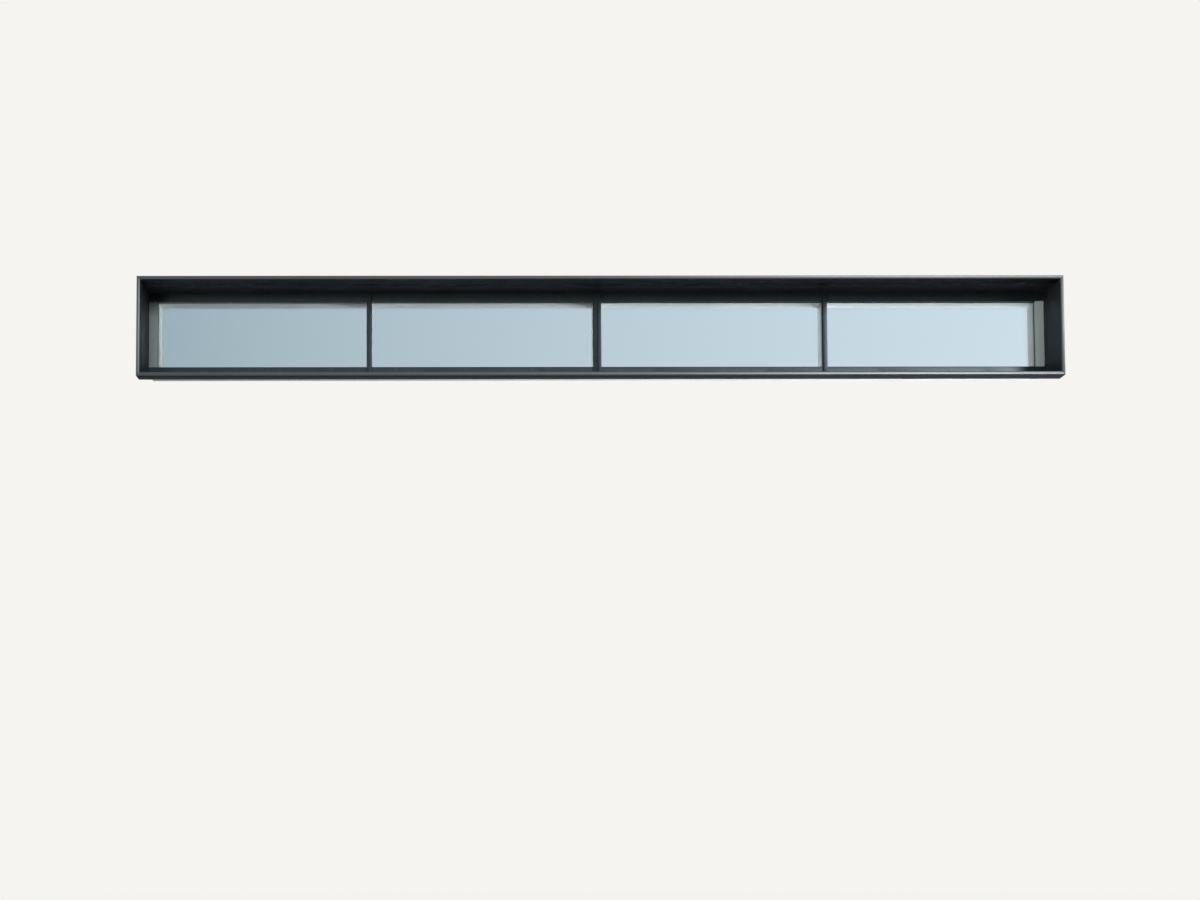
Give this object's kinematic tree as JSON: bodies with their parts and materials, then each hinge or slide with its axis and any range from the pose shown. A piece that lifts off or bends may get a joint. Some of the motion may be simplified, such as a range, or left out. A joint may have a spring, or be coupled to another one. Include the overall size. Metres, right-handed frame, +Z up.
{
  "type": "clerestory window",
  "caption": "Long, low clerestory window: fixed double-glazed lights in a capped aluminium frame, set deep in a folded box surround.",
  "frame": {"origin": "under the middle of the overall box, level with the underside of the surround's bottom lip", "axes": "+X along the window to the right seen from outside, -Y towards the outside, +Z up"},
  "size_m": [4.2, 0.52, 0.456],
  "materials": {
    "surround_paint": "semi-gloss anthracite powder coat on folded aluminium sheet",
    "cap_paint": "semi-gloss dark green-grey powder coat on extruded aluminium",
    "inner_paint": "satin white powder coat on extruded aluminium",
    "glass": "clear float glass, faintly green at the edge",
    "spacer_metal": "bright drawn aluminium spacer bar",
    "edge_sealant": "matt black edge sealant of the glass unit",
    "gasket_rubber": "matt black extruded rubber",
    "joint_sealant": "tooled dark grey joint sealant",
    "mill_aluminium": "plain mill finish aluminium",
    "isolator_plastic": "matt black rigid plastic",
    "block_plastic": "matt moulded plastic setting block",
    "screw_steel": "plain stainless steel",
    "strap_steel": "zinc coated flat steel strap"
  },
  "bodies": {
    "root": {"surround_head": "surround_paint", "surround_jamb_left": "surround_paint", "surround_jamb_right": "surround_paint", "surround_sill": "surround_paint", "cap_head": "cap_paint", "cap_sill": "cap_paint", "cap_jamb_left": "cap_paint", "cap_jamb_right": "cap_paint", "cap_mullion_left": "cap_paint", "cap_mullion_centre": "cap_paint", "cap_mullion_right": "cap_paint", "inner_head": "inner_paint", "inner_sill": "inner_paint", "inner_jamb_left": "inner_paint", "inner_jamb_right": "inner_paint", "inner_mullion_left": "inner_paint", "inner_mullion_centre": "inner_paint", "inner_mullion_right": "inner_paint", "outer_pane_1": "glass", "inner_pane_1": "glass", "spacer_1": "spacer_metal", "edge_seal_1": "edge_sealant", "outer_gasket_1": "gasket_rubber", "inner_gasket_1": "gasket_rubber", "outer_pane_2": "glass", "inner_pane_2": "glass", "spacer_2": "spacer_metal", "edge_seal_2": "edge_sealant", "outer_gasket_2": "gasket_rubber", "inner_gasket_2": "gasket_rubber", "outer_pane_3": "glass", "inner_pane_3": "glass", "spacer_3": "spacer_metal", "edge_seal_3": "edge_sealant", "outer_gasket_3": "gasket_rubber", "inner_gasket_3": "gasket_rubber", "outer_pane_4": "glass", "inner_pane_4": "glass", "spacer_4": "spacer_metal", "edge_seal_4": "edge_sealant", "outer_gasket_4": "gasket_rubber", "inner_gasket_4": "gasket_rubber", "perimeter_seal": "joint_sealant", "corner_cleats": "mill_aluminium", "isolator_head": "isolator_plastic", "isolator_sill": "isolator_plastic", "isolator_jamb_left": "isolator_plastic", "isolator_jamb_right": "isolator_plastic", "mullion_isolators": "isolator_plastic", "setting_blocks": "block_plastic", "rail_pressure_plates": "mill_aluminium", "jamb_pressure_plates": "mill_aluminium", "mullion_pressure_plates": "mill_aluminium", "centre_pressure_plate": "mill_aluminium", "plate_screws": "screw_steel", "surround_screws": "screw_steel", "strap_screws": "screw_steel", "head_straps": "strap_steel", "jamb_straps": "strap_steel"}
  },
  "joints": []
}
